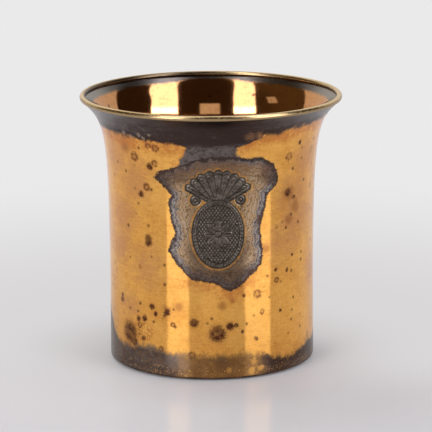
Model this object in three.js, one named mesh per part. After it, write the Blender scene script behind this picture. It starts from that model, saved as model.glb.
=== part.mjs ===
// Gilt silver beaker: a sheet wall with a trumpet lip, a round rim wire, a base disc and its solder.
// Millimetres, +Z up, resting on z = 0, with the decorated front towards -Y.
import * as THREE from 'three';

// Driving dimensions
const overallHeight = 78;
const rimDiameter = 76;
const waistDiameter = 59.7;
const waistHeight = 26;
const footSpread = 1;
const sheetThickness = 0.7;
const lipAngle = THREE.MathUtils.degToRad(50);
const wallHandle = 41;
const lipHandle = 8.9;
const rimWireDiameter = 1.7;
const rimWireSeat = 0.35;
const baseThickness = 0.9;
const baseEdgeRadius = 0.7;
const solderLeg = 1;

// Facets
const turns = 96;
const footSteps = 5;
const flareSteps = 15;
const wireSteps = 14;
const edgeSteps = 4;

// Sizes that follow from the driving dimensions
const wireRadius = rimWireDiameter / 2;
const wireCentreRadius = rimDiameter / 2 - wireRadius;
const wireCentreHeight = overallHeight - wireRadius;
const lipHeight = overallHeight - rimWireDiameter + rimWireSeat;
const lipWidth = sheetThickness / Math.cos(lipAngle);
const footRadius = (waistDiameter + footSpread) / 2;

const gilt = new THREE.MeshStandardMaterial({ color: 0xc9924c, roughness: 0.22, metalness: 1 });
const wornGilt = new THREE.MeshStandardMaterial({ color: 0xbfa071, roughness: 0.28, metalness: 1 });
const solder = new THREE.MeshStandardMaterial({ color: 0xb9a27c, roughness: 0.4, metalness: 1 });

const point = (radius, height) => new THREE.Vector2(radius, height);

// One face of the wall from the foot up to the lip; the inner face lies one sheet inside the outer one.
function wallFace(inset, lipRadius) {
  const foot = point(footRadius - inset, baseThickness);
  const waist = point(waistDiameter / 2 - inset, waistHeight);
  const lip = point(lipRadius, lipHeight);
  const footHandle = point(waist.x, (foot.y + waist.y) / 2);
  const flareStart = point(waist.x, waist.y + wallHandle);
  const flareEnd = point(lip.x - lipHandle * Math.sin(lipAngle), lip.y - lipHandle * Math.cos(lipAngle));
  const lower = new THREE.QuadraticBezierCurve(foot, footHandle, waist).getPoints(footSteps);
  const upper = new THREE.CubicBezierCurve(waist, flareStart, flareEnd, lip).getPoints(flareSteps);
  return [...lower, ...upper.slice(1)];
}

// A ring or disc turned about +Z from its half section.
function turned(name, section, material) {
  const geometry = new THREE.LatheGeometry(section, turns);
  geometry.rotateX(Math.PI / 2);
  const mesh = new THREE.Mesh(geometry, material);
  mesh.name = name;
  return mesh;
}

// Wall
const outerFace = wallFace(0, wireCentreRadius + lipWidth / 2);
const innerFace = wallFace(sheetThickness, wireCentreRadius - lipWidth / 2);
const wallSection = [...outerFace, ...innerFace.toReversed(), outerFace[0]];

// Rim wire, filed flat underneath where it sits on the lip
const seatAngle = Math.asin((rimWireSeat - wireRadius) / wireRadius);
const wireSection = [];
for (let step = 0; step <= wireSteps; step += 1) {
  const angle = seatAngle + ((Math.PI - 2 * seatAngle) * step) / wireSteps;
  const radius = wireCentreRadius + wireRadius * Math.cos(angle);
  wireSection.push(point(radius, wireCentreHeight + wireRadius * Math.sin(angle)));
}
wireSection.push(wireSection[0]);

// Base disc with its lower edge rounded off
const baseSection = [point(0, 0)];
for (let step = 0; step <= edgeSteps; step += 1) {
  const angle = ((step / edgeSteps - 1) * Math.PI) / 2;
  const radius = footRadius - baseEdgeRadius + baseEdgeRadius * Math.cos(angle);
  baseSection.push(point(radius, baseEdgeRadius + baseEdgeRadius * Math.sin(angle)));
}
baseSection.push(point(footRadius, baseThickness), point(0, baseThickness));

// Solder run round the inside corner, up the first straight stretch of the wall
const corner = innerFace[0];
const climb = solderLeg / (innerFace[1].y - corner.y);
const solderTop = corner.clone().lerp(innerFace[1], climb);
const solderSection = [corner, solderTop, point(corner.x - solderLeg, corner.y), corner];

const beaker = new THREE.Group();
beaker.name = 'beaker';
beaker.add(
  turned('body_wall', wallSection, gilt),
  turned('rim_wire', wireSection, wornGilt),
  turned('base_disc', baseSection, gilt),
  turned('base_solder', solderSection, solder),
);

export default beaker;
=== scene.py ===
import math

import bmesh
import bpy
import numpy as np
from mathutils import Matrix, Vector


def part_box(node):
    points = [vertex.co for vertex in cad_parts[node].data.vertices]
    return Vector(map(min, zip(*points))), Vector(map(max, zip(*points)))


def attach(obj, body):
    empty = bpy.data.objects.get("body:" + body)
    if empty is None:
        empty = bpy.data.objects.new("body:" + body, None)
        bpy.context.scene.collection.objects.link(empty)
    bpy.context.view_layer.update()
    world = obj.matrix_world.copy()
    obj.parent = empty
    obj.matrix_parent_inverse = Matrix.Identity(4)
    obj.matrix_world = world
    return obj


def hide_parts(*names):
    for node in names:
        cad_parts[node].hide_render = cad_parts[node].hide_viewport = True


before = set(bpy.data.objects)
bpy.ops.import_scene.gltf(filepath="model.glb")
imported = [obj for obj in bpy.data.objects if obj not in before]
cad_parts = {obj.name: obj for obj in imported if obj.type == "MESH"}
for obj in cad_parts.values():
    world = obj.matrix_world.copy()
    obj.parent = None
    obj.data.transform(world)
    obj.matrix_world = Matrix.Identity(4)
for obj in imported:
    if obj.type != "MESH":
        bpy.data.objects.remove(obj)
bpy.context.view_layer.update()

# Wall: one sheet of silver raised into a nearly straight cup with a trumpet lip, polished and gilt all over.
# Hand work leaves faint undulations. A medallion is engraved on the front, and age has stained the gilding
# grey at the lip, at the foot and round the engraving. Lengths are in millimetres until the mesh is made.
MM = 0.001
sheet = 0.7
waist_radius = 29.85
waist_height = 26.0
wall_handle = 41.0
lip_handle = 8.9
lip_angle = math.radians(50)
foot_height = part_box("body_wall")[0].z / MM
lip_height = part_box("body_wall")[1].z / MM
lip_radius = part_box("body_wall")[1].x / MM
foot_drawn_in = 0.4  # less spread than the plain solid has
foot_steps = 200
flare_steps = 600
foot_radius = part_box("base_disc")[1].x / MM - foot_drawn_in


def bezier(corners, steps):
    """Points along the Bezier curve that these corners control."""
    share = np.linspace(0, 1, steps)[:, None]
    last = len(corners) - 1
    curve = np.zeros((steps, 2))
    for k, corner in enumerate(corners):
        curve += math.comb(last, k) * share**k * (1 - share) ** (last - k) * np.array(corner)
    return curve


def wall_face(inset, lip_at):
    """Radius and height along one face of the wall, from the foot up to the lip."""
    foot = (foot_radius - inset, foot_height)
    waist = (waist_radius - inset, waist_height)
    foot_pull = (waist[0], (foot_height + waist_height) / 2)
    flare_start = (waist[0], waist_height + wall_handle)
    flare_end = (lip_at - lip_handle * math.sin(lip_angle), lip_height - lip_handle * math.cos(lip_angle))
    lower = bezier([foot, foot_pull, waist], foot_steps)
    upper = bezier([waist, flare_start, flare_end, (lip_at, lip_height)], flare_steps)
    return np.vstack([lower, upper[1:]])


def run_along(face):
    """Distance from the start of a face to each of its points."""
    return np.concatenate([[0], np.cumsum(np.hypot(*np.diff(face, axis=0).T))])


def graded(low, high, step_at):
    """Marks from low to high whose spacing follows step_at."""
    marks = [low]
    while marks[-1] < high:
        marks.append(marks[-1] + step_at(marks[-1]))
    marks = np.array(marks)
    return low + (marks - low) * (high - low) / (marks[-1] - low)


# The medallion: an oval field of lozenge lattice with a rosette, a punched border, and a shell crest above.
medallion_turn = 1.9
medallion_height = 47.9
medallion_half_width = 10.6
medallion_half_height = 15.6
oval_drop = 5.0
oval_half = (7.5, 10.0)
lattice_pitch = 0.95
dot_count = 58
dot_inset = 0.85
petal_count = 8
petal_reach = 4.2
shell_hinge = 2.6
shell_reach = 10.4
shell_ribs = 9
shell_spread = math.radians(62)
volute_at = (6.3, 4.7)
volute_radius = 1.55
groove_width = 0.26
groove_depth = 0.12


def groove(distance, width=groove_width):
    """Share of full depth across a cut, from the distance to its middle line."""
    return np.exp(-((distance / width) ** 2) * 2)


def engrave(across, up):
    """Depth of the cuts, and signed distance to the medallion's outline, at places on the wall."""
    oval_up = up + oval_drop
    near = np.hypot(across / oval_half[0], oval_up / oval_half[1])
    far = np.hypot(across / oval_half[0] ** 2, oval_up / oval_half[1] ** 2)
    oval = near * (near - 1) / np.maximum(far, 1e-3)
    fan_up = up - shell_hinge
    reach = np.hypot(across, fan_up)
    lean = np.arctan2(across, fan_up)
    rib = lean / (2 * shell_spread) * shell_ribs
    lobe = np.abs(np.cos(math.pi * rib))
    shell = np.maximum(reach - shell_reach - 0.7 * lobe, reach * np.sin(np.abs(lean) - shell_spread))
    shell = np.where(np.abs(lean) > math.pi / 2 + shell_spread, 99, shell)
    volute = np.hypot(np.abs(across) - volute_at[0], up - volute_at[1])
    outline = np.minimum(np.minimum(oval, shell), volute - volute_radius)
    # Rosette in the middle of the oval, its petals left plain with one vein each
    round_angle = np.arctan2(across, oval_up)
    from_middle = np.hypot(across, oval_up)
    petal = np.abs(np.cos(petal_count / 2 * round_angle))
    rosette = from_middle - 1.2 - (petal_reach - 1.2) * petal**0.8
    petal_turn = (round_angle * petal_count / 2 + math.pi / 2) % math.pi - math.pi / 2
    vein = from_middle * np.sin(petal_turn) * 2 / petal_count
    veins = groove(vein, 0.18) * (from_middle < petal_reach - 0.6) * (from_middle > 1)
    flower = np.maximum(groove(rosette), np.maximum(0.7 * veins, groove(from_middle - 0.9)))
    # Lozenge lattice between the rosette and the border
    lattice = np.zeros_like(across)
    for way in (1, -1):
        stripe = (across + way * 0.7 * oval_up) / lattice_pitch
        lattice = np.maximum(lattice, groove((stripe - np.round(stripe)) * lattice_pitch * 0.82, 0.22))
    lattice *= (oval < -1.6) * (rosette > 0.25)
    # Border of punched dots between two cut lines
    step = np.arctan2(across / oval_half[0], oval_up / oval_half[1]) / (2 * math.pi) * dot_count
    along = (step - np.round(step)) * 2 * math.pi * oval_half[0] * 1.17 / dot_count
    dots = np.exp(-((along**2 + (oval + dot_inset) ** 2) / 0.28**2))
    border = np.maximum(np.maximum(groove(oval + 0.2), groove(oval + 1.5)), dots)
    field = np.maximum(np.maximum(flower, lattice), border) * (oval < 0.3)
    # Shell ribs, its scalloped edge and the two volutes
    split = (rib - np.floor(rib) - 0.5) * 2 * shell_spread / shell_ribs
    ribs = groove(reach * np.sin(split), 0.24) * (reach > 3.5) * (shell < -0.5)
    arcs = np.maximum(groove(shell + 0.25), groove(shell + 1.25, 0.18))
    crest = np.maximum(ribs, arcs) * (shell < 0.3) * (oval > 0.1)
    curls = np.maximum(groove(volute - volute_radius + 0.2), groove(volute - 0.55))
    curls *= (volute < volute_radius + 0.2) * (oval > 0.1)
    cut = np.maximum(np.maximum(field, crest), curls)
    return cut, outline


# The stained ground round the medallion
stain_outline = [
    (-7.5, 62.9), (-15.1, 60.5), (-16.6, 58.3), (-12.3, 54.7), (-11.1, 53.6), (-12.4, 52.1), (-11.3, 44.9),
    (-10.3, 42.9), (-13.0, 37.5), (-10.1, 33.8), (-5.9, 29.5), (0.9, 28.5), (5.4, 26.0), (7.8, 27.3),
    (11.7, 30.5), (14.6, 33.2), (15.2, 38.0), (14.2, 43.3), (16.0, 50.7), (16.4, 53.4), (20.2, 56.8),
    (18.2, 62.3), (14.2, 64.4), (10.1, 64.4), (6.0, 65.2), (0.0, 65.3), (-4.5, 64.2),
]


def distance_to(outline, across, up):
    """Signed distance from places on the wall to a closed outline, below zero inside it."""
    nearest = np.full(across.shape, 1e9)
    inside = np.zeros(across.shape, bool)
    for (x0, y0), (x1, y1) in zip(outline, outline[1:] + outline[:1]):
        share = ((across - x0) * (x1 - x0) + (up - y0) * (y1 - y0)) / ((x1 - x0) ** 2 + (y1 - y0) ** 2)
        share = np.clip(share, 0, 1)
        away = np.hypot(across - x0 - share * (x1 - x0), up - y0 - share * (y1 - y0))
        nearest = np.minimum(nearest, away)
        if y0 != y1:
            crosses = (y0 > up) != (y1 > up)
            inside ^= crosses & (across < x0 + (up - y0) * (x1 - x0) / (y1 - y0))
    return np.where(inside, -nearest, nearest)


def ringed(name, rings):
    """A mesh of rings of points, each joined to the next and the last to the first."""
    count, turns = rings.shape[:2]
    corner = np.arange(count * turns).reshape(count, turns)
    right = np.roll(corner, -1, axis=1)
    above = np.roll(corner, -1, axis=0)
    faces = np.stack([corner, right, np.roll(right, -1, axis=0), above], axis=-1).reshape(-1, 4)
    mesh = bpy.data.meshes.new(name)
    mesh.from_pydata((rings.reshape(-1, 3) * MM).tolist(), [], faces.tolist())
    return mesh


def turned(radius, height, angle):
    """Points at a radius and height, turned about the upright axis from the front towards the right."""
    return np.stack([radius * np.sin(angle), -radius * np.cos(angle), height + 0 * angle], axis=-1)


fine_step = 0.13
column_step = 1.3
row_step = 0.9
easing = 9.0
inner_rows = 90
sharp_corner = math.radians(38)
half_round = math.pi * waist_radius


def column_spacing(across):
    """Width of a column of faces, fine across the medallion and easing off beside it."""
    beyond = max(0, abs(across - medallion_turn) - medallion_half_width)
    return fine_step + (column_step - fine_step) * min(1, beyond / easing)


outer_face = wall_face(0, lip_radius)
outer_run = run_along(outer_face)
medallion_run = np.interp(medallion_height, outer_face[:, 1], outer_run)


def row_spacing(run):
    """Height of a row of faces, fine along the medallion and easing off above and below."""
    beyond = max(0, abs(run - medallion_run) - medallion_half_height)
    return fine_step + (row_step - fine_step) * min(1, beyond / easing)


across_marks = graded(-half_round, half_round, column_spacing)
turns = across_marks[:-1] / waist_radius
runs = graded(0, outer_run[-1], row_spacing)
radius = np.interp(runs, outer_run, outer_face[:, 0])
height = np.interp(runs, outer_run, outer_face[:, 1])
lean_out = np.interp(runs, outer_run, np.gradient(outer_face[:, 0], outer_run))
lean_up = np.interp(runs, outer_run, np.gradient(outer_face[:, 1], outer_run))
across, up = np.meshgrid(turns * waist_radius, height)
cut, outline = engrave(across - medallion_turn, np.meshgrid(turns, runs - medallion_run)[1])
# Faint undulations of the raised sheet, with the cuts of the engraving
ripple = 0.012 * np.sin(7 * turns + 0.09 * up) + 0.009 * np.sin(11 * turns - 0.14 * up + 1.3)
ripple += 0.006 * np.sin(16 * turns + 0.5 * up + 2) + 0.004 * np.sin(13 * turns - 0.8 * up)
depth = ripple + groove_depth * cut
sunk_radius = radius[:, None] - depth * lean_up[:, None]
sunk_height = height[:, None] + depth * lean_out[:, None]
outer_rings = turned(sunk_radius, sunk_height, turns)
inner_face = wall_face(sheet, lip_radius - sheet / math.cos(lip_angle))
inner_run = run_along(inner_face)
inner_marks = np.linspace(inner_run[-1], 0, inner_rows)
inner_radius = np.interp(inner_marks, inner_run, inner_face[:, 0])
inner_height = np.interp(inner_marks, inner_run, inner_face[:, 1])
inner_rings = turned(inner_radius[:, None], inner_height[:, None], turns)
wall_mesh = ringed("wall", np.concatenate([outer_rings, inner_rings]))
wall_mesh.polygons.foreach_set("use_smooth", [True] * len(wall_mesh.polygons))
wall_mesh.set_sharp_from_angle(angle=sharp_corner)


def store(mesh, name, outer_values, inner_value):
    """Keeps one number per point of the wall for its material."""
    inner_values = np.full(inner_rings.shape[:2], inner_value, float)
    values = np.concatenate([outer_values, inner_values]).ravel()
    mesh.attributes.new(name, "FLOAT", "POINT").data.foreach_set("value", values)


far_off = 60.0
store(wall_mesh, "outside", np.ones_like(cut), 0)
store(wall_mesh, "cut", cut, 0)
store(wall_mesh, "medallion", np.minimum(outline, far_off), far_off)
store(wall_mesh, "stain", np.minimum(distance_to(stain_outline, across, up), far_off), far_off)

# The unrolled wall fills the texture, with extra room across the finely cut front.
index_share = np.arange(len(across_marks)) / (len(across_marks) - 1)
arc_share = (across_marks + half_round) / (2 * half_round)
column_uv = (index_share + arc_share) / 2
outer_floor_uv = 0.31
inner_ceiling_uv = 0.29
outer_uv = outer_floor_uv + (1 - outer_floor_uv) * runs / runs[-1]
inner_uv = inner_ceiling_uv * inner_marks / inner_marks[0]
ring_uv = np.concatenate([outer_uv, inner_uv])
next_uv = np.concatenate([ring_uv[1:], [0]])
next_uv[len(runs) - 1] = 1
corners_across = np.stack([column_uv[:-1], column_uv[1:], column_uv[1:], column_uv[:-1]], axis=-1)
corners_up = np.stack([ring_uv, ring_uv, next_uv, next_uv], axis=-1)
wall_uv = np.empty((len(ring_uv), len(turns), 4, 2))
wall_uv[..., 0] = corners_across[None]
wall_uv[..., 1] = corners_up[:, None]
wall_mesh.uv_layers.new(name="OFBake").data.foreach_set("uv", wall_uv.ravel())


class Shade:
    """A value in a shader tree: arithmetic adds Math nodes, and node() adds any other node."""

    def __init__(self, tree, socket=None):
        self.tree = tree
        self.socket = socket

    def node(self, kind, settings, sockets, output=0):
        made = self.tree.nodes.new(kind)
        stops = settings.pop("stops", ())
        for _ in stops[2:]:
            made.color_ramp.elements.new(1)
        for k, (share, colour) in enumerate(stops):
            made.color_ramp.elements[k].position = share
            made.color_ramp.elements[k].color = colour
        for name, value in settings.items():
            setattr(made, name, value)
        for name, value in sockets.items():
            if isinstance(value, Shade):
                self.tree.links.new(value.socket, made.inputs[name])
            else:
                made.inputs[name].default_value = value
        return Shade(self.tree, made.outputs[output])

    def output(self, name):
        return Shade(self.tree, self.socket.node.outputs[name])

    def math(self, operation, *terms):
        return self.node("ShaderNodeMath", {"operation": operation}, dict(enumerate(terms)))

    def __add__(self, other):
        return self.math("ADD", self, other)

    __radd__ = __add__

    def __sub__(self, other):
        return self.math("SUBTRACT", self, other)

    def __rsub__(self, other):
        return self.math("SUBTRACT", other, self)

    def __mul__(self, other):
        return self.math("MULTIPLY", self, other)

    __rmul__ = __mul__

    def __truediv__(self, other):
        return self.math("DIVIDE", self, other)

    def __abs__(self):
        return self.math("ABSOLUTE", self)

    def least(self, other):
        return self.math("MINIMUM", self, other)

    def most(self, other):
        return self.math("MAXIMUM", self, other)

    def rise(self, low, high):
        """A smooth step from 0 at low to 1 at high, or down where low is the greater."""
        sockets = {"Value": self, "From Min": low, "From Max": high}
        return self.node("ShaderNodeMapRange", {"interpolation_type": "SMOOTHSTEP"}, sockets)

    def blend(self, below, above):
        """A colour that goes from below to above as this value goes from 0 to 1."""
        settings = {"data_type": "RGBA"}
        return self.node("ShaderNodeMix", settings, {0: self, 6: below, 7: above}, 2)

    def ramp(self, *stops):
        """A colour read off a row of stops, each a place from 0 to 1 with its colour."""
        return self.node("ShaderNodeValToRGB", {"stops": stops}, {0: self})

    def cloud(self, place, scale, detail=3.0, seed=0.0):
        """Noise from about -1 to 1 whose patches measure about one over scale."""
        settings = {"noise_dimensions": "4D"}
        sockets = {"Vector": place, "W": seed, "Scale": scale, "Detail": detail, "Roughness": 0.55}
        return (self.node("ShaderNodeTexNoise", settings, sockets) - 0.5) * 2.6


def new_finish(name):
    """A fresh material, its shader and a place in millimetres on the piece that wears it."""
    material = bpy.data.materials.new(name)
    material.use_nodes = True
    tree = material.node_tree
    shader = tree.nodes["Principled BSDF"]
    metres = Shade(tree).node("ShaderNodeTexCoord", {}, {}, "Object")
    place = metres.node("ShaderNodeVectorMath", {"operation": "SCALE"}, {0: metres, "Scale": 1 / MM})
    return material, shader, place


def feed(shader, name, value):
    """Links a varying value to one of the shader's sockets."""
    value.tree.links.new(value.socket, shader.inputs[name])


clear_gold = (1.0, 0.53, 0.125, 1)
deep_gold = (0.74, 0.325, 0.058, 1)
inner_gold = (0.76, 0.37, 0.15, 1)
copper_haze = (0.66, 0.31, 0.12, 1)
ember = (0.64, 0.225, 0.055, 1)
rust = (0.40, 0.15, 0.045, 1)
brown_spot = (0.10, 0.034, 0.018, 1)
umber = (0.085, 0.05, 0.036, 1)
slate = (0.18, 0.155, 0.14, 1)
pale_slate = (0.36, 0.325, 0.285, 1)
olive = (0.36, 0.23, 0.11, 1)
fox_brown = (0.26, 0.14, 0.075, 1)
warm_grey = (0.30, 0.22, 0.16, 1)
tarnish = (0.055, 0.037, 0.032, 1)
engraved_dark = (0.035, 0.029, 0.023, 1)
engraved_worn = (0.21, 0.175, 0.14, 1)

gilt_wall, wall_shader, place = new_finish("gilt_wall")
wall_shader.inputs["Metallic"].default_value = 1
split = place.node("ShaderNodeSeparateXYZ", {}, {0: place})
angle = split.math("ARCTAN2", split, 0 - split.output("Y"))
arc = angle * waist_radius
sideways = angle.math("SINE", angle)
rise_mm = split.output("Z")
outside = place.node("ShaderNodeAttribute", {"attribute_name": "outside"}, {}, "Fac")
cut_share = place.node("ShaderNodeAttribute", {"attribute_name": "cut"}, {}, "Fac")
medallion_edge = place.node("ShaderNodeAttribute", {"attribute_name": "medallion"}, {}, "Fac")
stain_edge = place.node("ShaderNodeAttribute", {"attribute_name": "stain"}, {}, "Fac")
broad = place.cloud(place, 0.06, 3, 1)
patchy = place.cloud(place, 0.16, 4, 2)
blotchy = place.cloud(place, 0.35, 4, 11)
ragged = place.cloud(place, 0.8, 4, 3)
grainy = place.cloud(place, 2.2, 3, 4)
wiped = place.node("ShaderNodeVectorMath", {"operation": "MULTIPLY"}, {0: place, 1: (0.3, 0.3, 2.4)})
hairlines = place.cloud(wiped, 1.0, 3, 12)
grit = grainy * 0.7 + hairlines * 0.5
frayed = ragged * 0.9 + grainy * 0.5
speckle = place.cloud(place, 1.7, 3, 14) * 1.8
sway = place.cloud(place, 1.0, 3, 10)
flat = place.node("ShaderNodeCombineXYZ", {}, {"X": arc + sway * 0.5, "Y": rise_mm + ragged * 0.5})


def nearest(spots):
    """Distance to the nearest of some spots, each across, up and radius, as a share of that radius."""
    closest = None
    for across_at, up_at, size in spots:
        ends = {0: flat, 1: (across_at, up_at, 0)}
        share = flat.node("ShaderNodeVectorMath", {"operation": "DISTANCE"}, ends, "Value") / size
        closest = share if closest is None else closest.least(share)
    return closest


# How deep each place lies in the stains, in millimetres
lip_edge = 69.1 + sideways + sideways * sideways * 2.2 + arc.rise(7, 12) * arc.rise(85, 45)
in_lip_band = rise_mm - lip_edge + blotchy + frayed * 0.8
foot_climb = arc.rise(-32, -46) * arc.rise(-78, -56) * 9 + arc.rise(40, 52) * arc.rise(82, 60) * 4
foot_dip = arc.rise(11, 24) * (0.5 + arc.rise(38, 26) * 2.2) - arc.rise(-28, -22) * arc.rise(-11, -19)
in_foot_band = 7.2 + foot_climb - foot_dip - rise_mm + blotchy + frayed
in_halo = frayed * 0.7 + blotchy * 0.4 - stain_edge
neck_half = 6.9 + rise_mm.rise(66, 63.5) * 2.4 + rise_mm.rise(67.6, 70.6) * 6
in_neck = (neck_half - abs(arc - 0.2) + blotchy * 1.4 + frayed).least(rise_mm - 62)
inner_edge = 75.9 - abs(sideways).rise(0.1, 0.35) * 0.5 - sideways * sideways * 0.6
inner_band = rise_mm - inner_edge + blotchy * 0.4 + frayed * 0.3
lip_stain = in_lip_band.rise(-0.9, 0.5)
foot_stain = in_foot_band.rise(-1.6, 1.0) * (0.76 + abs(arc - 3).rise(9, 15) * 0.24 + ragged * 0.2)
halo_stain = in_halo.rise(-0.25, 0.2)
neck_stain = in_neck.rise(-0.5, 0.4)
outer_stain = lip_stain.most(foot_stain).most(halo_stain).most(neck_stain)
inner_stain = inner_band.rise(-0.5, 0.4)
stained = inner_stain + (outer_stain - inner_stain) * outside

# Gilding: clear where it is thick, clouded with copper in places, rusty beside the stains
hazes = [
    (-24, 57, 10), (-31, 63, 9), (-29, 46, 9), (-20, 32, 9), (-31, 37, 8), (27, 52, 10), (31, 62, 8),
    (23, 39, 9), (-27, 20, 6), (-27, 67, 6), (26, 44, 7), (-44, 40, 12), (48, 46, 12), (38, 28, 7),
    (31, 45, 9),
]
thin = broad * 0.4 + patchy * 0.7 + ragged * 0.4 + grit * 1.2
gold = (thin + 0.2).rise(-0.6, 1.3).blend(clear_gold, deep_gold)
hazy = (nearest(hazes) + blotchy * 0.5 + ragged * 0.3).rise(1.3, 0.1)
clouded = (hazy * 0.9 + patchy * 0.3 + ragged * 0.3 + grit * 0.5).rise(0.0, 1.3)
gold = (clouded * 0.85).blend(gold, copper_haze)
under_halo = in_halo.rise(-4.5, -0.2) * rise_mm.rise(33, 27)
under_lip = in_lip_band.rise(-4.6, -1.4).most(in_neck.rise(-2.2, -0.6) * arc.rise(4, -4) * 0.8)
broken = (ragged * 0.7 + blotchy * 0.6 + grit * 0.5 + 0.7).rise(0.0, 1.0)
fringe = under_halo.most(under_lip) * outside * broken
gold = (fringe * 0.85).blend(gold, ember)
inner_worn = (ragged * 0.7 + blotchy * 0.5 + grit * 0.9).rise(-0.2, 0.9) * 0.5
gold = outside.blend(inner_worn.blend(inner_gold, rust), gold)

# Spots where damp broke through the gilding: blots, rings with a clear middle, rust and fine freckles
blots = [
    (-27.1, 11.4, 3.1), (-25.1, 8.9, 1.4), (1.6, 13.7, 2.5), (5.2, 15.9, 1.2), (6.9, 16.1, 0.7),
    (-19.1, 39.2, 1.2), (-19.1, 40.3, 1.1), (-18.1, 20.5, 0.9), (-16.9, 18.7, 0.7), (-13.1, 19.5, 1.1),
    (-20.9, 16.6, 0.9), (-23.3, 16.1, 0.8), (-21.4, 10.5, 0.8), (-17.9, 61.5, 1.0), (-21.4, 53.0, 0.9),
    (23.8, 52.9, 1.2), (26.6, 51.1, 0.7), (19.6, 31.0, 0.6), (24.0, 30.1, 0.6), (26.3, 34.3, 0.5),
    (21.3, 18.7, 0.5), (13.0, 11.6, 0.6), (23.4, 42.7, 0.45), (27.4, 67.1, 0.6), (29.0, 43.3, 0.5),
    (30.9, 32.0, 0.5), (8.9, 14.2, 0.5), (9.2, 24.6, 0.5), (-31.1, 20.2, 0.8), (-31.1, 21.6, 0.7),
    (-5.0, 16.9, 1.2),
]
rings = [
    (-23.0, 63.8, 1.3), (-17.6, 67.5, 0.9), (-15.4, 67.1, 1.0), (-16.1, 62.6, 1.0), (-19.3, 55.4, 1.1),
    (-22.8, 14.4, 0.8), (-15.1, 8.4, 0.9), (-11.4, 16.0, 0.7), (-5.8, 7.4, 1.0), (13.4, 24.7, 1.2),
    (14.9, 19.4, 0.7), (20.0, 28.0, 0.8), (23.5, 63.3, 1.2),
]
bubbles = [
    (-25.3, 70.5, 0.8), (-22.7, 69.7, 0.9), (-19.9, 70.6, 0.8), (-18.6, 69.8, 0.6), (-16.5, 70.9, 0.6),
    (13, 70.1, 0.7),
]
rust_spots = [
    (-22.5, 31.7, 0.9), (-9.8, 21.5, 1.6), (2.8, 21.9, 1.3), (5.9, 23.4, 0.9), (16.1, 37.4, 1.4),
    (-13.1, 20.2, 1.6), (24.3, 52.2, 2.6), (27.2, 48.4, 2.0), (24.6, 45.0, 1.6), (-26.4, 66.0, 2.0),
]
to_blot = nearest(blots) + grainy * 0.5 + ragged * 0.3
blotted = to_blot.rise(1.15, 0.7) * (ragged * 0.6 + grainy * 0.3 + 0.85)
to_ring = nearest(rings) + grainy * 0.15
ringed_by = abs(to_ring - 0.75).rise(0.6, 0.1) * (ragged * 0.8 + grainy * 0.6 + 0.6).rise(0, 0.8) * 0.85
ringed_by = ringed_by.most(to_ring.rise(1.0, 0.4) * 0.25)
to_rust = nearest(rust_spots) + ragged * 0.6 + blotchy * 0.4 + grit * 0.5
rusted = to_rust.rise(1.4, 0.3).most(to_blot.rise(1.6, 0.9) * 0.6) * 0.7


def scattered(scale, size, odds):
    """Spots strewn at random, one to a cell of about one over scale, in some of the cells."""
    cell = place.node("ShaderNodeTexVoronoi", {}, {"Vector": place, "Scale": scale}, "Distance")
    chance = cell.node("ShaderNodeSeparateColor", {}, {0: cell.output("Color")})
    return (cell + (grainy * 0.15 + ragged * 0.1) * scale).rise(size, size * 0.4) * chance.rise(*odds)


freckled = scattered(0.3, 0.22, (0.3, 0.8)) * 0.75
cracks = place.node(
    "ShaderNodeTexVoronoi", {"feature": "DISTANCE_TO_EDGE"}, {"Vector": place, "Scale": 1.1}, "Distance"
)
crackled = (nearest([(-22.0, 12.6, 5.0)]) + blotchy * 0.5 + ragged * 0.3).rise(1.1, 0.5)
crackled = crackled * (cracks - ragged * 0.25 - grainy * 0.1).rise(0.16, 0.02) * 0.6
out_of_sight = abs(arc).rise(32, 40)
blotted = blotted.most(scattered(0.1, 0.2, (0.35, 0.6)) * out_of_sight * 0.9)
specked = (grainy * 0.7 + ragged * 0.5 + blotchy * 0.4).rise(0.45, 0.95) * 0.6
gold = (rusted.most(specked).most(ringed_by).most(crackled) * outside).blend(gold, rust)
gold = (freckled.most(blotted.most(ringed_by * 0.6) * outside)).blend(gold, brown_spot)

# Stain at the lip and the neck: nearly black in front and along its lower edge, slate towards the sides
mottle = (blotchy * 0.6 + ragged * 0.6 + grit * 0.9 + 0.4).rise(-0.4, 1.2)
tide = in_lip_band.rise(-0.4, 0.4) * in_lip_band.rise(2.4, 1.0)
drawn = place.node("ShaderNodeVectorMath", {"operation": "MULTIPLY"}, {0: place, 1: (0.16, 0.16, 1.1)})
smeared = place.cloud(drawn, 1.0, 4, 13)
slaty = (abs(sideways).rise(0.2, 0.9) * 0.45).most(rise_mm.rise(69.6, 67.0)) * (0.1 + mottle * 1.15)
streaked = (smeared + blotchy * 0.6 + grit * 0.4).rise(-0.2, 0.7) * rise_mm.rise(69.6, 67.0)
slaty = (slaty + mottle * 0.15 + smeared * 0.3) * (1 - tide * 0.75) * (1 - streaked * 0.6)
upper_colour = (slaty + speckle * 0.12).rise(0, 1).blend(tarnish, slate)
inner_colour = abs(sideways).rise(0.82, 0.95).blend(slate, pale_slate)
upper_colour = outside.blend(inner_colour, upper_colour)
bubbled = abs(nearest(bubbles) + grainy * 0.1 - 0.4).rise(0.6, 0.2)
upper_colour = (bubbled * outside * 0.8).blend(upper_colour, warm_grey)

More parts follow.
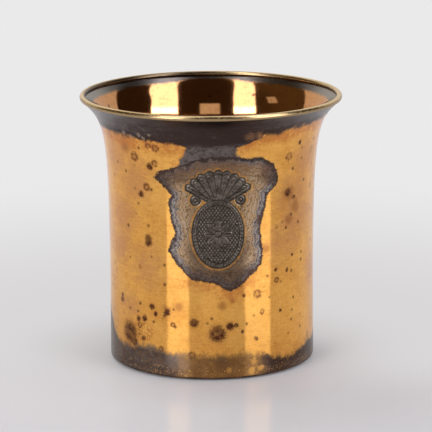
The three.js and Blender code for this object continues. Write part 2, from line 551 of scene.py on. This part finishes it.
# Stain at the foot: slate on the left, black to the right, with gold showing through and a pale bloom
blooms = [(-11.5, 5.4, 2.6), (-8.4, 4.4, 2.4)]
foot_golds = [(4.6, 2.9, 0.9), (11.5, 2.2, 1.2), (14.4, 2.8, 1.0), (12.2, 5.0, 1.1)]
foot_colour = (mottle * abs(arc - 8).rise(8, 26) * 0.9).blend(umber, slate)
showing_through = (blotchy * 0.7 + ragged * 0.7 + grit * 0.8).rise(-0.1, 0.8) * abs(arc - 5).rise(44, 14)
foot_colour = (showing_through * 0.9).blend(foot_colour, olive)
bloom = (nearest(blooms) + ragged * 0.3 + grit * 0.2).rise(1.3, 0.2)
foot_colour = (bloom * 0.18).blend(foot_colour, pale_slate)
black_edge = (in_foot_band + ragged * 0.4 + grit * 0.5).rise(-0.4, 0.5)
black_band = black_edge * (rise_mm + ragged * 0.8 + blotchy * 0.6).rise(2.4, 3.6) * arc.rise(13, 16.5)
black_spot = (nearest([(2.8, 5.4, 2.0)]) + ragged * 0.5 + grit * 0.4).rise(1.3, 0.4)
blackened = (black_band * arc.rise(75, 50)).most(black_spot * 0.55)

# Stain round the medallion: a black edge, a grainy slate band drawn with tide lines, then browns and olive
share_in = (in_halo + blotchy * 0.6 + ragged * 0.6 + grit * 0.3) / 6
halo_colour = share_in.ramp(
    (0.0, tarnish), (0.07, tarnish), (0.14, slate), (0.3, slate), (0.5, olive), (0.95, olive),
)
tide_lines = share_in.math("SINE", share_in * 36 + patchy * 2.5 + blotchy * 1.8 + ragged * 0.6)
pale_line = (tide_lines + speckle * 0.5).rise(0.3, 1.3) * share_in.rise(0.1, 0.16)
halo_colour = (pale_line * 0.75).blend(halo_colour, pale_slate)
browned = (ragged * 0.8 + blotchy * 0.6 + speckle * 0.4).rise(0.0, 0.8) * share_in.rise(0.28, 0.45)
halo_colour = (browned * 0.85).blend(halo_colour, fox_brown)
halo_colour = (medallion_edge + ragged * 0.7).rise(1.0, 0.5).blend(halo_colour, olive)
dark_line = (0 - tide_lines - speckle * 0.6 - ragged * 0.4).rise(0.3, 1.4)
halo_colour = (dark_line * 0.85).blend(halo_colour, tarnish)
halo_darks = [(-13.8, 57.8, 4.0), (-9.5, 60.5, 3.5), (17.6, 59.5, 4.2), (15.0, 46.0, 2.5)]
crest_shade = rise_mm.rise(55, 60) * abs(arc + 2).rise(11, 8)
low_shade = rise_mm.rise(36, 31).most((nearest(halo_darks) + ragged * 0.3 + blotchy * 0.3).rise(1.2, 0.5))
low_shade = low_shade.most((medallion_edge + ragged * 0.8).rise(4.0, 1.2) * rise_mm.rise(44, 37) * 0.7)
halo_colour = ((crest_shade * 0.6).most(low_shade) * (0.9 - mottle * 0.4)).blend(halo_colour, umber)
crest_brown = rise_mm.rise(58, 62) * share_in.rise(0.14, 0.3) * (0.2 + mottle * 0.4)
halo_colour = crest_brown.blend(halo_colour, fox_brown)

stain_colour = rise_mm.rise(50, 60).blend(foot_colour, upper_colour)
lip_browns = [(10.2, 71.2, 1.6), (12.4, 71.4, 1.4), (23.0, 72.0, 1.2), (25.8, 72.2, 1.1)]
lip_worn = (nearest(lip_browns) + ragged * 0.7 + grit * 0.5).rise(1.3, 0.3) * outside
stain_colour = (lip_worn * 0.8).blend(stain_colour, fox_brown)
stain_colour = (in_halo.rise(-0.1, 0.1) * outside).blend(stain_colour, halo_colour)
surface = stained.blend(gold, stain_colour)
surface = (blackened * outside * 0.68).blend(surface, tarnish)

# Gold left at the foot in patches and flecks, and in a thin line beside the medallion
fleck = (grainy * 1.1 + hairlines * 0.5).rise(0.25, 0.65) * (rise_mm + ragged).rise(5.0, 2.6)
left_gold = (nearest(foot_golds) + ragged * 0.7 + grit * 0.6).rise(1.2, 0.4) * 0.5
surface = (fleck.most(left_gold) * outside * 0.85).blend(surface, clear_gold)
gold_line = medallion_edge.rise(0.05, 0.2) * medallion_edge.rise(0.75, 0.4) * outside
surface = (gold_line * (ragged * 0.8 + grit * 0.6 + 0.45).rise(0.0, 0.9) * 0.7).blend(surface, deep_gold)
in_medallion = medallion_edge.rise(0.12, -0.05) * outside
worn_high = (1 - cut_share) * (grit + ragged * 0.4 + 0.5).rise(-0.1, 1.0)
medallion_colour = worn_high.blend(engraved_dark, engraved_worn)
gilt_flecks = (grainy * 0.7 + patchy * 0.4).rise(0.5, 0.8) * (1 - cut_share)
medallion_colour = (gilt_flecks * 0.7).blend(medallion_colour, deep_gold)
surface = in_medallion.blend(surface, medallion_colour)
feed(wall_shader, "Base Color", surface)
roughness = 0.07 + clouded * 0.06 + stained * (0.16 + grainy * 0.06)
feed(wall_shader, "Roughness", roughness + in_medallion * 0.1)
pitting = grainy * (stained * 0.9 + 0.1) + ragged * 0.4
relief = {"Strength": 0.15, "Distance": 0.03 * MM, "Height": pitting}
feed(wall_shader, "Normal", place.node("ShaderNodeBump", {}, relief, "Normal"))
wall_mesh.materials.append(gilt_wall)
wall = bpy.data.objects.new("gilt_wall", wall_mesh)
bpy.context.collection.objects.link(wall)
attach(wall, "root")
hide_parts("body_wall")

# Base: a flat disc of the same sheet, a little thicker, soldered under the wall to close the cup.
# Its lower edge is rounded by polishing and wear, and its underside is rubbed by every table it stood on.
base_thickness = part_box("base_disc")[1].z / MM
base_edge_width = 2.0
base_facets = 192
edge_steps = 9
base_turns = np.linspace(-math.pi, math.pi, base_facets, endpoint=False)
edge_angles = np.linspace(-math.pi / 2, 0, edge_steps)
base_section = [(0, 0), (foot_radius * 0.5, 0)]
base_section += [
    (
        foot_radius - base_edge_width + base_edge_width * math.cos(a),
        base_thickness + base_thickness * math.sin(a),
    )
    for a in edge_angles
]
base_section += [(foot_radius * 0.5, base_thickness), (0, base_thickness)]


def lathe(name, section, angles, sharp_angle):
    """A smooth piece turned from a section given as radius and height."""
    section = np.array(section, float)
    mesh = ringed(name, turned(section[:, :1], section[:, 1:], angles[None]))
    shape = bmesh.new()
    shape.from_mesh(mesh)
    bmesh.ops.remove_doubles(shape, verts=shape.verts, dist=1e-7)
    bmesh.ops.dissolve_degenerate(shape, edges=shape.edges, dist=1e-8)
    shape.to_mesh(mesh)
    shape.free()
    mesh.polygons.foreach_set("use_smooth", [True] * len(mesh.polygons))
    mesh.set_sharp_from_angle(angle=sharp_angle)
    piece = bpy.data.objects.new(name, mesh)
    bpy.context.collection.objects.link(piece)
    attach(piece, "root")
    return piece


base = lathe("gilt_base", base_section, base_turns, math.radians(40))
gilt_base, base_shader, place = new_finish("gilt_base")
base_shader.inputs["Metallic"].default_value = 1
patchy = place.cloud(place, 0.2, 4, 5)
grainy = place.cloud(place, 2.5, 3, 6)
base_colour = (patchy * 0.5 + grainy * 0.5 + 0.85).rise(0.1, 0.9).blend(deep_gold, umber)
feed(base_shader, "Base Color", base_colour)
feed(base_shader, "Roughness", 0.2 + (patchy * 0.5 + 0.5).rise(0, 1) * 0.15)
base.data.materials.append(gilt_base)
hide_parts("base_disc")

# Solder: the run of silver solder in the inside corner, where wall and base meet.
# It drew itself into a hollow fillet when it flowed, and was never polished flat.
solder_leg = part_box("base_solder")[1].z / MM - base_thickness
corner_radius = foot_radius - sheet
hollow_steps = 7
hollow_angles = np.linspace(0, math.pi / 2, hollow_steps)
solder_section = [(corner_radius, base_thickness)]
solder_section += [
    (
        corner_radius - solder_leg * (1 - math.sin(a)),
        base_thickness + solder_leg * (1 - math.cos(a)),
    )
    for a in hollow_angles
]
solder = lathe("base_solder_run", solder_section, base_turns, math.radians(40))
solder_finish, solder_shader, place = new_finish("solder")
solder_shader.inputs["Metallic"].default_value = 1
grainy = place.cloud(place, 1.2, 4, 7)
feed(solder_shader, "Base Color", (grainy * 0.5 + 0.5).rise(0, 1).blend(deep_gold, slate))
feed(solder_shader, "Roughness", 0.3 + (grainy * 0.5 + 0.5).rise(0, 1) * 0.2)
solder.data.materials.append(solder_finish)
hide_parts("base_solder")

# Rim: a round wire soldered on the edge of the lip to stiffen it, gilt with the rest.
# Its top is rubbed pale by use, and small nicks break its highlight. Below the top the wire is darker,
# partly brown tarnish and partly painted shade on its flanks.
rim_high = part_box("rim_wire")[1]
wire_radius = 0.85
wire_seat = 0.35
wire_steps = 28
wire_facets = 256
wire_centre_radius = rim_high.x / MM - wire_radius
wire_centre_height = rim_high.z / MM - wire_radius
seat_angle = math.asin((wire_seat - wire_radius) / wire_radius)
wire_angles = np.linspace(seat_angle, math.pi - seat_angle, wire_steps)
wire_turns = np.linspace(-math.pi, math.pi, wire_facets, endpoint=False)
wire_section = [
    (wire_centre_radius + wire_radius * math.cos(a), wire_centre_height + wire_radius * math.sin(a))
    for a in wire_angles
]
wire = lathe("rim_bead", wire_section, wire_turns, math.radians(45))
gilt_wire, wire_shader, place = new_finish("gilt_wire")
wire_shader.inputs["Metallic"].default_value = 1
patchy = place.cloud(place, 0.25, 4, 8)
grainy = place.cloud(place, 2.5, 3, 9)
pale_gold = (0.95, 0.70, 0.36, 1)
rim_brown_and_shade = (0.42, 0.30, 0.15, 1)
height_on_wire = place.node("ShaderNodeSeparateXYZ", {}, {0: place}, "Z") - wire_centre_height
# painted shade: the wire turns brown below its rubbed top, partly tarnish and partly shade painted on its
# flanks
rubbed_top_and_shaded_flank = (height_on_wire + patchy * 0.2 + grainy * 0.2).rise(0.3, 0.7)
wire_colour = rubbed_top_and_shaded_flank.blend(rim_brown_and_shade, pale_gold)
across_wire = place.node("ShaderNodeVectorMath", {"operation": "MULTIPLY"}, {0: place, 1: (1, 1, 0)})
from_axis = across_wire.node("ShaderNodeVectorMath", {"operation": "LENGTH"}, {0: across_wire}, "Value")
inner_flank = (wire_centre_radius - from_axis + grainy * 0.1 + patchy * 0.1).rise(0.1, 0.5)
to_left = place.node("ShaderNodeSeparateXYZ", {}, {0: place}, "X").rise(6, -8)
wire_colour = (inner_flank * (0.1 + to_left * 0.7)).blend(wire_colour, tarnish)
feed(wire_shader, "Base Color", wire_colour)
feed(wire_shader, "Roughness", 0.2 + (grainy * 0.5 + 0.5).rise(0, 1) * 0.1)
wire.data.materials.append(gilt_wire)
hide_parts("rim_wire")

# Floor: a smooth white table top that mirrors the beaker faintly, a hair below its base.
# Away from the beaker it runs into the colour of a pale backdrop, for the camera alone. Nearer, and most of
# all beside and behind the beaker, it glows partly in its own tone for the camera: painted fill light that
# lightens the beaker's shadow.
floor_radius = 2.5
floor_drop = 0.0001
floor_facets = 64
floor_tone = (0.70, 0.692, 0.70, 1)
satin_tone = (0.672, 0.665, 0.674, 1)
painted_fill_tone = (0.69, 0.676, 0.684, 1)
backdrop_tone = (0.83, 0.822, 0.826, 1)
floor_mesh = bpy.data.meshes.new("floor")
floor_angles = np.linspace(0, 2 * math.pi, floor_facets, endpoint=False)
floor_points = [(floor_radius * math.cos(a), floor_radius * math.sin(a), -floor_drop) for a in floor_angles]
floor_mesh.from_pydata(floor_points, [], [list(range(floor_facets))])
floor = bpy.data.objects.new("floor", floor_mesh)
bpy.context.collection.objects.link(floor)
floor_finish, floor_shader, place = new_finish("floor")
floor_shader.inputs["Base Color"].default_value = floor_tone
floor_shader.inputs["IOR"].default_value = 1.1
floor_shader.inputs["Roughness"].default_value = 0.16
away = place.node("ShaderNodeVectorMath", {"operation": "LENGTH"}, {0: place}, "Value")
camera_ray = place.node("ShaderNodeLightPath", {}, {}, "Is Camera Ray")
haze = away.rise(60, 260).blend(painted_fill_tone, backdrop_tone)
glow = place.node("ShaderNodeEmission", {}, {"Color": haze}, "Emission")
glossy = Shade(place.tree, floor_shader.outputs["BSDF"])
satin_sockets = {"Base Color": satin_tone, "IOR": 1.08, "Roughness": 0.16}
satin = place.node("ShaderNodeBsdfPrincipled", {}, satin_sockets, "BSDF")
lit = camera_ray.node("ShaderNodeMixShader", {}, {0: camera_ray, 1: glossy, 2: satin}, "Shader")
behind_beaker = place.node("ShaderNodeSeparateXYZ", {}, {0: place}, "Y").rise(-45, -5)
# painted fill light: near the beaker the floor glows for the camera and lightens its shadow, less so in
# front
backdrop_and_painted_fill = camera_ray * away.rise(16, 66) * (0.3 + behind_beaker * 0.7).most(away.rise(80, 140))
seen = backdrop_and_painted_fill.node("ShaderNodeMixShader", {}, {0: backdrop_and_painted_fill, 1: lit, 2: glow}, "Shader")
place.tree.links.new(seen.socket, place.tree.nodes["Material Output"].inputs["Surface"])
floor_mesh.materials.append(floor_finish)

# Light: two tall soft panels in front, left and right, with two small pale cards beside them, and a soft
# lamp high behind that the metal does not show. A pale backdrop stands behind, a low pale strip lies all
# round, and the rest of the room is dim and warm.
panel_light = 2.7
panel_foot_light = 6.4
panel_spread = 0.38
left_panel = (-51.0, -25.6)
right_panel = (37.2, 69.4)
right_flare = 9
panel_tint = (1.0, 1.0, 1.08)
room_light = (0.03, 0.018, 0.010)
side_light = (0.06, 0.045, 0.022)
backdrop_light = 0.6
backdrop_edge = 117.5
backdrop_lean = 0.5
card_light = 0.62
front_card = (-10, 12.2), (0.1, 0.40)
side_card = (-80, -68), (0.40, 0.58)
side_card_share = 0.7
panel_climb = (0.045, 0.985)
world = bpy.data.worlds.new("studio")
world.use_nodes = True
bpy.context.scene.world = world
sky = Shade(world.node_tree)
ray = sky.node("ShaderNodeTexCoord", {}, {}, "Generated")
part = ray.node("ShaderNodeSeparateXYZ", {}, {0: ray})
climb = part.output("Z")
forward = 0 - part.output("Y")
bearing = part.math("ARCTAN2", part, forward) * math.degrees(1)
spread = climb.math("POWER", climb, 4) * panel_spread
panel_bearing = part.math("ARCTAN2", part, forward + spread) * math.degrees(1)
lean = climb * climb * backdrop_lean
backdrop_bearing = part.math("ARCTAN2", part, forward + lean) * math.degrees(1)


def between(value, edges, softness):
    """One between two edges and nothing beyond them, with soft borders."""
    over = value.rise(edges[0] - softness, edges[0] + softness)
    return over * value.rise(edges[1] + softness, edges[1] - softness)


flared = panel_bearing - panel_bearing.rise(45, 60) * climb.rise(0.45, 0.95) * right_flare
panels = between(panel_bearing, left_panel, 0.7) + between(flared, right_panel, 0.7)
panels = panels * between(climb, panel_climb, 0.012)
panels = panels * (panel_foot_light + climb.rise(0.27, 0.36) * (panel_light - panel_foot_light))
cards = between(bearing, front_card[0], 1) * between(climb, front_card[1], 0.02)
cards = cards.most(between(bearing, side_card[0], 1) * between(climb, side_card[1], 0.02) * side_card_share)
behind = abs(backdrop_bearing).rise(backdrop_edge - 1.5, backdrop_edge + 1.5)
horizon = climb.rise(0.17, 0.1)
level = (behind.most(horizon) * backdrop_light).most(cards * card_light)
side_glow = bearing.rise(-30, -100)
tones = {}
for k in range(3):
    tones[k] = level + panels * panel_tint[k] + side_glow * side_light[k] + room_light[k]
studio = sky.node("ShaderNodeCombineColor", {}, tones)
lighting = sky.node("ShaderNodeBackground", {}, {"Color": studio})
backdrop = sky.node("ShaderNodeBackground", {}, {"Color": backdrop_tone})
to_camera = sky.node("ShaderNodeLightPath", {}, {}, "Is Camera Ray")
shown = sky.node("ShaderNodeMixShader", {}, {0: to_camera, 1: lighting, 2: backdrop})
world.node_tree.links.new(shown.socket, world.node_tree.nodes["World Output"].inputs["Surface"])

overhead_radius = 0.35
overhead_power = 3.1
overhead_place = (-0.35, 0.45, 0.8)
overhead = bpy.data.lights.new("overhead", "AREA")
overhead.shape = "DISK"
overhead.size = 2 * overhead_radius
overhead.energy = overhead_power
overhead_lamp = bpy.data.objects.new("overhead", overhead)
overhead_lamp.location = overhead_place
overhead_lamp.rotation_euler = Vector(overhead_place).to_track_quat("Z", "Y").to_euler()
overhead_lamp.visible_glossy = False
bpy.context.collection.objects.link(overhead_lamp)

# Camera: a long lens a little above the rim, tipped by a hair as in the photograph.
# It stands straight in front and looks just past the middle of the beaker.
camera_distance = 0.720
camera_elevation = math.radians(13.2)
camera_roll = math.radians(-0.26)
aim_right = 0.00135
aim_up = 0.00219
lens_length = 204.6
film_width = 36
middle = Vector((0, 0, rim_high.z / 2))
back = Vector((0, -math.cos(camera_elevation), math.sin(camera_elevation)))
camera_up = Vector((0, math.sin(camera_elevation), math.cos(camera_elevation)))
camera_data = bpy.data.cameras.new("camera")
camera_data.lens = lens_length
camera_data.sensor_width = film_width
camera_data.clip_end = 100
camera = bpy.data.objects.new("camera", camera_data)
bpy.context.collection.objects.link(camera)
stand = middle + back * camera_distance
aim = middle + Vector((aim_right, 0, 0)) + camera_up * aim_up
facing = (aim - stand).to_track_quat("-Z", "Y").to_matrix().to_4x4()
camera.matrix_world = Matrix.Translation(stand) @ facing @ Matrix.Rotation(camera_roll, 4, "Z")
bpy.context.scene.camera = camera
bpy.context.scene.view_settings.view_transform = "Standard"
